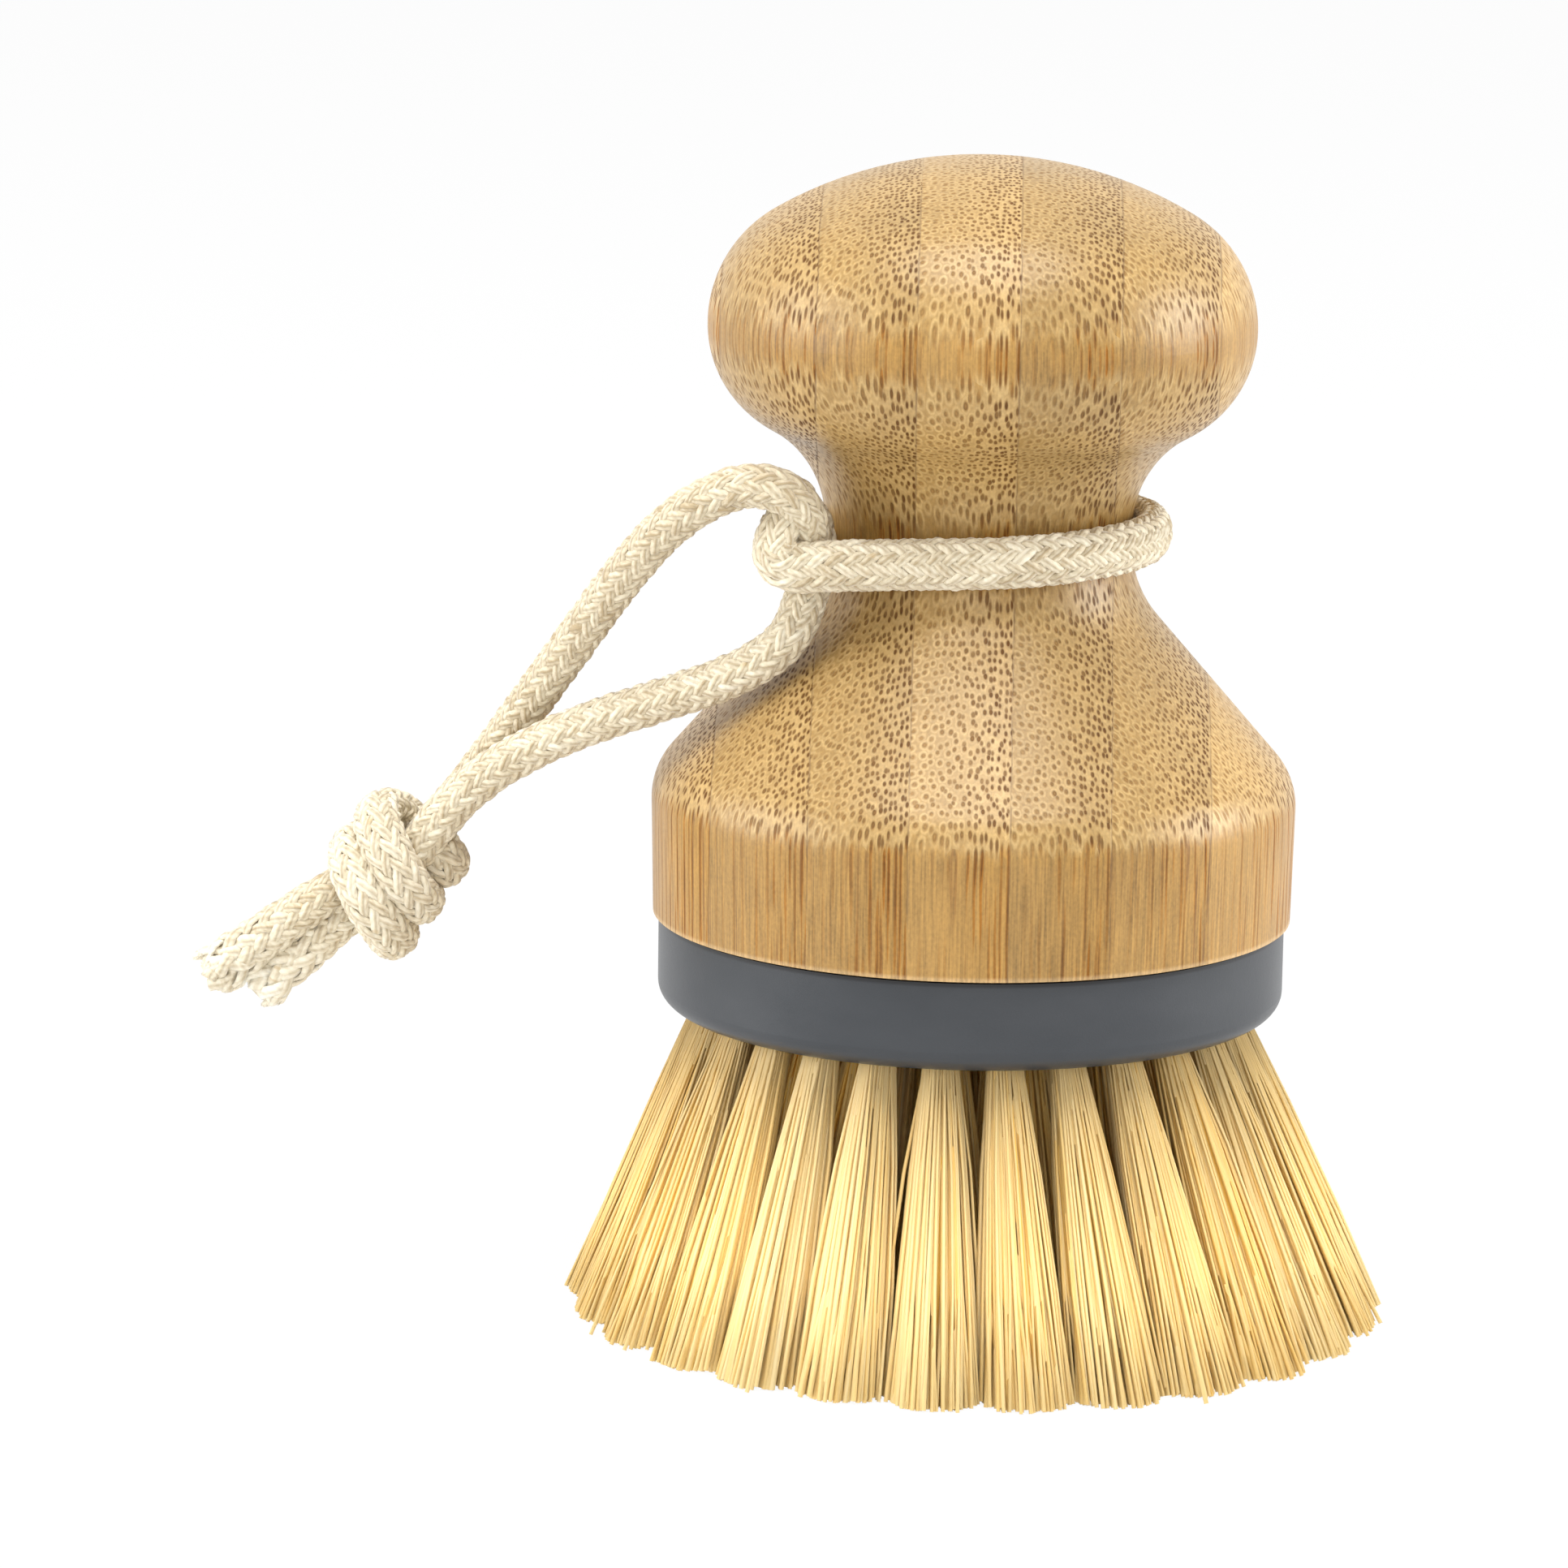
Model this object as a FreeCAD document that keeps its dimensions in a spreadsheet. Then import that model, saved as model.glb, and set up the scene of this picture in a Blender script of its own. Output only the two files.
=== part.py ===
"""Dish brush: a turned bamboo palm handle, a push-on moulded head of tufted bristles and a hanging cord.

Millimetres. +Z runs up the brush's axis and the origin is the middle of the plane of the bristle tips, on
which the brush stands. -Y faces the viewer.
"""
import os

import FreeCAD
import Part
import Sketcher
from FreeCAD import Placement, Rotation, Vector
from math import asin, atan2, cos, hypot, pi, radians, sin, tan

doc = FreeCAD.newDocument("dish_brush")
sheet = doc.addObject("Spreadsheet::Sheet", "sizes")
NODES = []

# Driving dimensions, in millimetres, degrees and counts
SIZES = {
    # Heights of the three layers, from the bristle tips up
    "bristle_reach": 26.6,
    "plate_thickness": 7.7,
    "seat_land_height": 0.25,
    # Turned handle, as a chain of heights from its flat underside, and its radii
    "base_wall_height": 9.7,
    "neck_rise": 22.75,
    "neck_length": 1.3,
    "knob_rise": 17.0,
    "knob_crown": 14.35,
    "base_radius": 27.65,
    "base_flare": 0.2,
    "neck_radius": 13.1,
    "knob_radius": 23.3,
    "shoulder_radius": 6.0,
    "neck_lower_radius": 10.0,
    "knob_upper_radius": 11.0,
    "knob_underside_share": 0.51,
    # Bamboo strips that the handle block was glued up from: their thickness, the place of the middle ones and
    # how deep the outermost strips lie in the base and in the knob
    "strip_thickness": 8.35,
    "middle_strip_left": 5.25,
    "base_left_strip": 5.7,
    "base_right_strip": 7.85,
    "knob_left_strip": 1.35,
    "knob_right_strip": 3.5,
    # Push fit between the head's spigot and the handle's socket
    "spigot_radius": 8.0,
    "spigot_length": 13.0,
    "spigot_chamfer": 0.8,
    "spigot_clearance": 0.05,
    "socket_end_gap": 0.6,
    # Moulded plate
    "plate_inset": 0.5,
    "plate_edge_radius": 1.8,
    "seat_land_radius": 20.0,
    # Tufts, their holes and the flat wire anchors at the bottoms of the holes
    "hole_radius": 1.7,
    "hole_depth": 5.0,
    "tuft_clearance": 0.1,
    "tip_radius": 3.2,
    "anchor_length": 1.6,
    "anchor_thickness": 0.5,
    "rim_to_tufts": 4.95,
    "ring_spacing": 6.3,
    "ring_turn": -5.8,
    "outer_tilt": 20.5,
    "outer_count": 26,
    "middle_tilt": 13.5,
    "middle_count": 14,
    "inner_tilt": 7.0,
    "inner_count": 8,
    # Cotton cord
    "cord_diameter": 4.0,
    "cord_clearance": 0.4,
    "neck_turn_rise": 0.15,
    "neck_turn_slope": 2.5,
    "hitch_bearing": 219.0,
    "hitch_half_angle": 8.0,
    "hitch_wall_gap": 0.4,
    "hitch_turn_radius": 2.6,
    "knot_wrap_radius": 4.6,
    "knot_wrap_thickness": 5.2,
    "knot_wrap_spacing": 4.2,
    "tail_length": 15.5,
    "tail_end_diameter": 5.0,
    # One overrun serves every cut and trim
    "overrun": 2.0,
}
for row, (alias, value) in enumerate(SIZES.items(), start=1):
    sheet.set(f"A{row}", alias)
    sheet.set(f"B{row}", str(value))
    sheet.setAlias(f"B{row}", alias)
doc.recompute()


def size(alias):
    """Value of one driving dimension, read from the sheet."""
    return float(sheet.get(alias))


def bind(item, **expressions):
    """Ties an object's sizes to the sheet; @ before a name stands for the sheet."""
    for name, expression in expressions.items():
        item.setExpression(name, expression.replace("@", "sizes."))


def node(item, label):
    """Counts an object as a sub-part of the brush under its own name."""
    item.Label = label
    NODES.append(item)


# Heights that the layers share, from the bristle tips up
plate_bottom = size("bristle_reach")
plate_top = plate_bottom + size("plate_thickness")
handle_bottom = plate_top + size("seat_land_height")
wall_top = handle_bottom + size("base_wall_height")
neck_bottom = wall_top + size("neck_rise")
neck_top = neck_bottom + size("neck_length")
equator = neck_top + size("knob_rise")
handle_top = equator + size("knob_crown")
# Radii that the handle's foot, the plate and the rings of tufts share
foot_radius = size("base_radius") - size("base_flare")
plate_radius = foot_radius - size("plate_inset")
outer_ring = plate_radius - size("rim_to_tufts")
RINGS = {
    "outer": outer_ring,
    "middle": outer_ring - size("ring_spacing"),
    "inner": outer_ring - 2 * size("ring_spacing"),
}


class Profile:
    """Half outline in the XZ plane, drawn on a body's own plane and turned about +Z."""

    def __init__(self, name):
        self.body = doc.addObject("PartDesign::Body", name)
        self.sketch = self.body.newObject("Sketcher::SketchObject", name + "_outline")
        plane = next(f for f in self.body.Origin.OriginFeatures if f.Role == "XZ_Plane")
        self.sketch.AttachmentSupport = [(plane, "")]
        self.sketch.MapMode = "FlatFace"

    def line(self, start, end):
        return self.sketch.addGeometry(Part.LineSegment(Vector(*start), Vector(*end)), False)

    def arc(self, centre, radius, first, last):
        """Arc that runs anticlockwise from one angle to another, in radians."""
        circle = Part.Circle(Vector(*centre), Vector(0, 0, 1), radius)
        return self.sketch.addGeometry(Part.ArcOfCircle(circle, first, last), False)

    def rule(self, *words):
        return self.sketch.addConstraint(Sketcher.Constraint(*words))

    def measure(self, kind, geometry, point, value, expression):
        """Distance of a point from the axis (DistanceX) or from the tips' plane (DistanceY)."""
        index = self.rule(kind, -1, 1, geometry, point, value)
        self.sketch.setExpression(f"Constraints[{index}]", expression.replace("@", "sizes."))

    def radius(self, geometry, value, expression):
        index = self.rule("Radius", geometry, value)
        self.sketch.setExpression(f"Constraints[{index}]", expression.replace("@", "sizes."))

    def turn(self):
        revolution = self.body.newObject("PartDesign::Revolution", self.body.Name + "_turned")
        revolution.Profile = self.sketch
        revolution.ReferenceAxis = (self.sketch, ["V_Axis"])
        revolution.Angle = 360
        self.body.Tip = revolution
        return self.body


START, END, CENTRE = 1, 2, 3
PLATE_TOP = "@bristle_reach + @plate_thickness"
HANDLE_BOTTOM = PLATE_TOP + " + @seat_land_height"
WALL_TOP = HANDLE_BOTTOM + " + @base_wall_height"
NECK_BOTTOM = WALL_TOP + " + @neck_rise"
NECK_TOP = NECK_BOTTOM + " + @neck_length"
EQUATOR = NECK_TOP + " + @knob_rise"
HANDLE_TOP = EQUATOR + " + @knob_crown"
SOCKET_TOP = PLATE_TOP + " + @spigot_length + @socket_end_gap"
UNDERSIDE = "((@knob_radius - @neck_radius)^2 + @knob_rise^2) / (2 * (@knob_radius - @neck_radius))"


def along(start, direction, distance):
    """Point at a distance from another, in the outline's plane."""
    return start[0] + distance * direction[0], start[1] + distance * direction[1]


def turned_handle():
    """The handle as it leaves the lathe: base wall, shoulder, waist, knob and dome, with a blind socket."""
    ceiling = plate_top + size("spigot_length") + size("socket_end_gap")
    socket = size("spigot_radius") + size("spigot_clearance")
    shoulder, waist, upper = size("shoulder_radius"), size("neck_lower_radius"), size("knob_upper_radius")

    # The shoulder's arc starts in line with the base wall
    foot, wall_end = (foot_radius, handle_bottom), (size("base_radius"), wall_top)
    wall_length = hypot(wall_end[0] - foot[0], wall_end[1] - foot[1])
    wall_out = ((wall_end[1] - foot[1]) / wall_length, -(wall_end[0] - foot[0]) / wall_length)
    shoulder_centre = along(wall_end, wall_out, -shoulder)

    # The cone is the straight line that touches the shoulder's arc and the arc at the neck's foot
    waist_centre = (size("neck_radius") + waist, neck_bottom)
    run, climb = waist_centre[0] - shoulder_centre[0], waist_centre[1] - shoulder_centre[1]
    slope = asin((shoulder + waist) / hypot(run, climb)) - atan2(run, climb)
    cone_out = (cos(slope), sin(slope))

    # Two arcs that touch make the knob's underside, upright at the neck and at the equator
    swell = size("knob_radius") - size("neck_radius")
    both = (swell ** 2 + size("knob_rise") ** 2) / (2 * swell)
    lower = both * size("knob_underside_share")
    rise = 2 * atan2(swell, size("knob_rise"))
    flare = both - lower
    flare_centre = (size("neck_radius") + flare, neck_top)
    lower_centre = (size("knob_radius") - lower, equator)

    # The dome is centred on the axis and touches the knob's upper arc
    upper_centre = (size("knob_radius") - upper, equator)
    crown = size("knob_crown")
    dome = (upper_centre[0] ** 2 + crown ** 2 - upper ** 2) / (2 * (crown - upper))
    dome_angle = atan2(dome - crown, upper_centre[0])

    p = Profile("turned_handle")
    axis = p.line((0, handle_top), (0, ceiling))
    roof = p.line((0, ceiling), (socket, ceiling))
    bore = p.line((socket, ceiling), (socket, handle_bottom))
    under = p.line((socket, handle_bottom), foot)
    wall = p.line(foot, wall_end)
    corner = p.arc(shoulder_centre, shoulder, atan2(wall_out[1], wall_out[0]), slope)
    cone = p.line(along(shoulder_centre, cone_out, shoulder), along(waist_centre, cone_out, -waist))
    waist_low = p.arc(waist_centre, waist, pi, pi + slope)
    neck = p.line((size("neck_radius"), neck_bottom), (size("neck_radius"), neck_top))
    waist_high = p.arc(flare_centre, flare, pi - rise, pi)
    knob_low = p.arc(lower_centre, lower, -rise, 0)
    knob_high = p.arc(upper_centre, upper, 0, dome_angle)
    cap = p.arc((0, handle_top - dome), dome, dome_angle, pi / 2)

    for first, second in ((axis, roof), (roof, bore), (bore, under), (under, wall), (cap, axis)):
        p.rule("Coincident", first, END, second, START)
    for first, first_point, second, second_point in (
        (wall, END, corner, START), (corner, END, cone, START), (cone, END, waist_low, END),
        (waist_low, START, neck, START), (neck, END, waist_high, END), (waist_high, START, knob_low, START),
        (knob_low, END, knob_high, START), (knob_high, END, cap, START),
    ):
        p.rule("Tangent", first, first_point, second, second_point)
    p.rule("PointOnObject", axis, START, -2)
    p.rule("PointOnObject", axis, END, -2)
    p.rule("PointOnObject", cap, CENTRE, -2)
    p.rule("Horizontal", roof)
    p.rule("Vertical", bore)
    p.rule("Horizontal", under)
    p.rule("Vertical", neck)
    p.rule("Horizontal", knob_low, CENTRE, knob_low, END)
    p.measure("DistanceY", axis, START, handle_top, HANDLE_TOP)
    p.measure("DistanceY", roof, START, ceiling, SOCKET_TOP)
    p.measure("DistanceX", bore, START, socket, "@spigot_radius + @spigot_clearance")
    p.measure("DistanceY", wall, START, handle_bottom, HANDLE_BOTTOM)
    p.measure("DistanceX", wall, START, foot_radius, "@base_radius - @base_flare")
    p.measure("DistanceX", wall, END, size("base_radius"), "@base_radius")
    p.measure("DistanceY", wall, END, wall_top, WALL_TOP)
    p.measure("DistanceX", neck, START, size("neck_radius"), "@neck_radius")
    p.measure("DistanceY", neck, START, neck_bottom, NECK_BOTTOM)
    p.measure("DistanceY", neck, END, neck_top, NECK_TOP)
    p.measure("DistanceX", knob_low, END, size("knob_radius"), "@knob_radius")
    p.measure("DistanceY", knob_low, END, equator, EQUATOR)
    p.radius(corner, shoulder, "@shoulder_radius")
    p.radius(waist_low, waist, "@neck_lower_radius")
    p.radius(knob_low, lower, "@knob_underside_share * " + UNDERSIDE)
    p.radius(knob_high, upper, "@knob_upper_radius")
    return p.turn()


# Strips that run up through the neck, where it is thick enough to hold them
NECK_STRIPS = (3, 4, 5, 6)


def bamboo_strips(handle):
    """The glued strips, as slabs of the handle. Beside the neck a strip is a base piece and a knob piece."""
    reach = max(size("base_radius"), size("knob_radius")) + size("overrun")
    waist = (neck_bottom + neck_top) / 2
    zones = {"base": (handle_bottom - size("overrun"), waist), "knob": (waist, handle_top + size("overrun"))}
    middle = [size("strip_thickness") * step - size("middle_strip_left") for step in range(3)]
    edges = {}
    for zone in zones:
        radius = size(zone + "_radius")
        left, right = size(zone + "_left_strip") - radius, radius - size(zone + "_right_strip")
        edges[zone] = [-reach, left, left + size("strip_thickness")] + middle + [right, reach]

    for number in range(1, len(edges["base"])):
        slabs = {}
        for zone, (below, above) in zones.items():
            low, high = edges[zone][number - 1], edges[zone][number]
            slab = doc.addObject("Part::Box", f"{zone}_slab_{number}")
            slab.Length, slab.Height = high - low, above - below
            bind(slab, Width="2 * (max(@base_radius; @knob_radius) + @overrun)")
            slab.Placement = Placement(Vector(low, -reach, below), Rotation())
            slabs[zone] = slab
        if number in NECK_STRIPS and low < size("neck_radius"):
            whole = doc.addObject("Part::MultiFuse", f"slab_{number}")
            whole.Shapes, whole.Refine = list(slabs.values()), True
            slabs = {"bamboo": whole}
        for kind, slab in slabs.items():
            strip = doc.addObject("Part::Common", f"{kind}_strip_{number}")
            strip.Base, strip.Tool = handle, slab
            node(strip, f"{kind}_strip_{number}")


def plate_blank():
    """Round plate with a rolled lower edge and a raised seat for the handle."""
    edge, land = size("plate_edge_radius"), size("seat_land_radius")
    p = Profile("plate_blank")
    floor = p.line((0, plate_bottom), (plate_radius - edge, plate_bottom))
    roll = p.arc((plate_radius - edge, plate_bottom + edge), edge, -pi / 2, 0)
    corners = [(plate_radius, plate_bottom + edge), (plate_radius, plate_top), (land, plate_top),
               (land, handle_bottom), (0, handle_bottom), (0, plate_bottom)]
    rim, top, step, seat, axis = [p.line(a, b) for a, b in zip(corners, corners[1:])]
    p.rule("Tangent", floor, END, roll, START)
    p.rule("Tangent", roll, END, rim, START)
    for first, second in ((rim, top), (top, step), (step, seat), (seat, axis), (axis, floor)):
        p.rule("Coincident", first, END, second, START)
    for flat in (floor, top, seat):
        p.rule("Horizontal", flat)
    for upright in (rim, step):
        p.rule("Vertical", upright)
    p.rule("PointOnObject", axis, START, -2)
    p.rule("PointOnObject", axis, END, -2)
    p.radius(roll, edge, "@plate_edge_radius")
    p.measure("DistanceY", floor, START, plate_bottom, "@bristle_reach")
    p.measure("DistanceX", rim, END, plate_radius, "@base_radius - @base_flare - @plate_inset")
    p.measure("DistanceY", rim, END, plate_top, PLATE_TOP)
    p.measure("DistanceX", step, END, land, "@seat_land_radius")
    p.measure("DistanceY", step, END, handle_bottom, HANDLE_BOTTOM)
    return p.turn()


def plate_spigot():
    """Round spigot on the plate's seat, with a chamfered lead-in, that the handle's socket is pushed over."""
    radius, chamfer = size("spigot_radius"), size("spigot_chamfer")
    top = plate_top + size("spigot_length")
    p = Profile("spigot")
    corners = [(0, handle_bottom), (radius, handle_bottom), (radius, top - chamfer),
               (radius - chamfer, top), (0, top)]
    foot, side, bevel, end, axis = [p.line(a, b) for a, b in zip(corners, corners[1:] + corners[:1])]
    for first, second in ((foot, side), (side, bevel), (bevel, end), (end, axis), (axis, foot)):
        p.rule("Coincident", first, END, second, START)
    p.rule("Horizontal", foot)
    p.rule("Horizontal", end)
    p.rule("Vertical", side)
    p.rule("PointOnObject", axis, START, -2)
    p.rule("PointOnObject", axis, END, -2)
    p.measure("DistanceY", foot, START, handle_bottom, HANDLE_BOTTOM)
    p.measure("DistanceX", side, START, radius, "@spigot_radius")
    p.measure("DistanceY", side, END, top - chamfer, PLATE_TOP + " + @spigot_length - @spigot_chamfer")
    p.measure("DistanceX", bevel, END, radius - chamfer, "@spigot_radius - @spigot_chamfer")
    p.measure("DistanceY", bevel, END, top, PLATE_TOP + " + @spigot_length")
    node(p.turn(), "plate_spigot")


def tuft_seats():
    """Ring, number in it, tilt and the placement of each hole: its mouth, with +Z out along the tuft."""
    for ring, radius in RINGS.items():
        count, tilt = size(ring + "_count"), size(ring + "_tilt")
        for number in range(int(count)):
            bearing = 360 * (number + 0.5) / count + size("ring_turn")
            outward = Vector(cos(radians(bearing)), sin(radians(bearing)), 0)
            swing = Rotation(Vector(-outward.y, outward.x, 0), 180 - tilt)
            mouth = outward * radius + Vector(0, 0, plate_bottom)
            yield ring, number + 1, tilt, Placement(mouth, swing)
    yield "centre", 1, 0.0, Placement(Vector(0, 0, plate_bottom), Rotation(Vector(0, 1, 0), 180))


def brush_head(blank):
    """Plate with its blind holes, the tufts set in them and the wire anchors that hold the tufts."""
    trim = doc.addObject("Part::Cylinder", "trimmed_space")
    trim.Radius = 2 * (outer_ring + size("bristle_reach") * tan(radians(size("outer_tilt"))))
    bind(trim, Height="@bristle_reach + @plate_thickness")
    holes, anchors, inner = [], [], []
    for ring, number, tilt, seat in tuft_seats():
        name = f"{ring}_{number:02d}"
        bottom = seat.multiply(Placement(Vector(0, 0, -size("hole_depth")), Rotation()))
        hole = doc.addObject("Part::Cylinder", "hole_" + name)
        bind(hole, Radius="@hole_radius", Height="@hole_depth + @overrun")
        hole.Placement = bottom
        holes.append(hole)

        anchor = doc.addObject("Part::Box", "anchor_" + name)
        bind(anchor, Length="2 * sqrt((@hole_radius - @tuft_clearance)^2 - @anchor_thickness^2 / 4)",
             Width="@anchor_thickness", Height="@anchor_length")
        half_chord = (size("hole_radius") - size("tuft_clearance")) ** 2 - size("anchor_thickness") ** 2 / 4
        corner = Vector(-half_chord ** 0.5, -size("anchor_thickness") / 2, 0)
        anchor.Placement = bottom.multiply(Placement(corner, Rotation()))
        anchors.append(anchor)

        bundle = doc.addObject("Part::Cone", "bundle_" + name)
        slant = f"(@bristle_reach / cos({tilt} deg))"
        past = f"(@tip_radius * tan({tilt} deg) + @overrun)"
        root = "(@hole_depth - @anchor_length)"
        mouth_radius = "(@hole_radius - @tuft_clearance)"
        flare = f"((@tip_radius - {mouth_radius}) / {slant})"
        bind(bundle, Radius1=f"{mouth_radius} - {flare} * {root}", Radius2=f"@tip_radius + {flare} * {past}",
             Height=f"{root} + {slant} + {past}")
        seated = Vector(0, 0, size("anchor_length"))
        bundle.Placement = bottom.multiply(Placement(seated, Rotation()))
        tuft = doc.addObject("Part::Common", "tuft_" + name)
        tuft.Base, tuft.Tool = bundle, trim
        if ring in ("outer", "middle"):
            node(tuft, f"{ring}_tuft_{number:02d}")
        else:
            inner.append(tuft)

    drilling = doc.addObject("Part::Compound", "drilling")
    drilling.Links = holes
    plate = doc.addObject("Part::Cut", "plate")
    plate.Base, plate.Tool = blank, drilling
    node(plate, "brush_plate")
    for label, members in (("inner_tufts", inner), ("tuft_anchors", anchors)):
        group = doc.addObject("Part::Compound", label)
        group.Links = members
        node(group, label)


# The cord's places are measured from the middle of its hitch and chosen along the photographed route.
# Its two free strands run from the hitch to the knot.
UPPER_STRAND = [
    (-0.2, -0.1, 0.8), (0.3, -1.6, 4.8), (-4.2, -2.1, 6.4), (-10.0, -0.6, 3.5),
    (-14.6, 1.9, -1.6), (-20.9, 7.8, -10.9), (-27.4, 12.8, -20.2), (-33.3, 13.6, -28.1),
]
LOWER_STRAND = [
    (0.0, 0.0, -3.5), (-1.5, -0.4, -7.8), (-6.3, 1.4, -10.9), (-13.2, 4.2, -13.7),
    (-20.4, 6.0, -16.4), (-26.9, 7.8, -20.3), (-30.7, 8.7, -24.1), (-33.5, 9.4, -27.9),
]
# Middle of the knot and the way its axis points, and where the two tails leave it and which way they run
KNOT_MIDDLE = (-35.1, 11.4, -30.5)
KNOT_AXIS = (-0.72, 0.0, -0.69)
TAIL_ROOTS = [(-38.6, 10.8, -32.6), (-37.2, 12.2, -35.6)]
TAIL_AXIS = (-0.87, 0.0, -0.49)
ARC_SHARE = 0.45


def cord_wire(corners):
    """Straight runs joined by tangent arcs as large as the runs allow, with the arcs' radii."""
    edges, radii = [], []
    here = corners[0]
    for before, corner, after in zip(corners, corners[1:], corners[2:]):
        back, ahead = before - corner, after - corner
        setback = ARC_SHARE * min(back.Length, ahead.Length)
        turn = pi - back.getAngle(ahead)
        radius = setback / tan(turn / 2)
        back.normalize()
        ahead.normalize()
        first, last = corner + back * setback, corner + ahead * setback
        inward = (back + ahead).normalize()
        middle = corner + inward * (radius / cos(turn / 2) - radius)
        edges.append(Part.LineSegment(here, first).toShape())
        edges.append(Part.Arc(first, middle, last).toShape())
        radii.append(radius)
        here = last
    edges.append(Part.LineSegment(here, corners[-1]).toShape())
    return Part.Wire(edges), radii


def cord_strand(label, corners):
    """Tube along one free stretch of the cord."""
    wire, radii = cord_wire(corners)
    route = doc.addObject("Part::Feature", label + "_route")
    route.Shape = wire
    section = doc.addObject("Part::Circle", label + "_section")
    bind(section, Radius="@cord_diameter / 2")
    section.Placement = Placement(corners[0], Rotation(Vector(0, 0, 1), corners[1] - corners[0]))
    tube = doc.addObject("Part::Sweep", label)
    tube.Sections = [section]
    tube.Spine = (route, [f"Edge{number}" for number in range(1, len(wire.Edges) + 1)])
    tube.Solid = True
    node(tube, label)
    print(label, "length", round(wire.Length, 1), "radii", [round(radius, 1) for radius in radii])
    return tube, pi * size("cord_diameter") ** 2 / 4 * wire.Length


def hanging_cord():
    """Cord turned once round the neck, hitched on itself, its two ends knotted together."""
    turn_height = neck_bottom + size("neck_turn_rise")
    turn = doc.addObject("Part::Torus", "cord_neck_turn")
    bind(turn, Radius1="@neck_radius + @cord_clearance + @cord_diameter / 2", Radius2="@cord_diameter / 2",
         Angle3="360 - 2 * @hitch_half_angle")
    lean = Rotation(Vector(0, 1, 0), -size("neck_turn_slope"))
    start = Rotation(Vector(0, 0, 1), size("hitch_bearing") + size("hitch_half_angle"))
    turn.Placement = Placement(Vector(0, 0, turn_height), lean.multiply(start))
    node(turn, "cord_neck_turn")

    hitch = doc.addObject("Part::Torus", "cord_hitch")
    bind(hitch, Radius1="@hitch_turn_radius", Radius2="@cord_diameter / 2")
    bearing = radians(size("hitch_bearing"))
    outward = Vector(cos(bearing), sin(bearing), 0)
    stand_off = (size("neck_radius") + size("hitch_wall_gap") + size("hitch_turn_radius")
                 + size("cord_diameter") / 2)
    middle = outward * stand_off + Vector(0, 0, turn_height)
    hitch.Placement = Placement(middle, Rotation(Vector(0, 0, 1), Vector(-outward.y, outward.x, 0)))
    node(hitch, "cord_hitch")

    tubes = []
    for label, steps in (("cord_upper_strand", UPPER_STRAND), ("cord_lower_strand", LOWER_STRAND)):
        tubes.append(cord_strand(label, [middle + Vector(*step) for step in steps]))

    axis = Vector(*KNOT_AXIS).normalize()
    wraps = []
    for side in (-1, 1):
        wrap = doc.addObject("Part::Torus", "knot_wrap")
        bind(wrap, Radius1="@knot_wrap_radius", Radius2="@knot_wrap_thickness / 2")
        place = middle + Vector(*KNOT_MIDDLE) + axis * (side * size("knot_wrap_spacing") / 2)
        wrap.Placement = Placement(place, Rotation(Vector(0, 0, 1), axis))
        wraps.append(wrap)
    knot = doc.addObject("Part::Fuse", "cord_knot")
    knot.Base, knot.Tool = wraps
    node(knot, "cord_knot")

    tails = []
    for root in TAIL_ROOTS:
        tail = doc.addObject("Part::Cone", "cord_tail")
        bind(tail, Radius1="@cord_diameter / 2", Radius2="@tail_end_diameter / 2", Height="@tail_length")
        tail.Placement = Placement(middle + Vector(*root), Rotation(Vector(0, 0, 1), Vector(*TAIL_AXIS)))
        tails.append(tail)
    pair = doc.addObject("Part::Compound", "cord_tails")
    pair.Links = tails
    node(pair, "cord_tails")
    return tubes


handle = turned_handle()
bamboo_strips(handle)
plate_spigot()
brush_head(plate_blank())
tubes = hanging_cord()
doc.recompute()

faults = [item.Name for item in doc.Objects if {"Invalid", "Error"} & set(item.State)]
faults += [item.Label for item in NODES if item.Shape.isNull() or not item.Shape.isValid()]
if faults:
    raise RuntimeError("not built: " + ", ".join(faults))
for tube, expected in tubes:
    print(tube.Label, "volume over section times length", round(tube.Shape.Volume / expected, 4))
glued = sum(item.Shape.Volume for item in NODES if "_strip_" in item.Label)
print("strips' volume over the turned handle's", round(glued / handle.Shape.Volume, 6))

os.makedirs("parts", exist_ok=True)
for item in NODES:
    item.Shape.exportStep(f"parts/{item.Label}.step")
print(len(NODES), "nodes")
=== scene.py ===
# %% [markdown]
# # A dish brush, dressed for its portrait
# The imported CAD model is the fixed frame: a turned bamboo handle, a plastic plate with tufts and a
# hanging cord. This lesson keeps the rigid pieces where their shape is right, and replaces the soft ones,
# the bristles and the cord, by real fibres and a real braid. Lengths are in metres. Only the patterns of
# the finishes are worked out in millimetres.

# %% Load the frame
from math import cos, pi, radians, sin, sqrt, tan

import bpy
import numpy as np
from mathutils import Matrix, Vector


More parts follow.
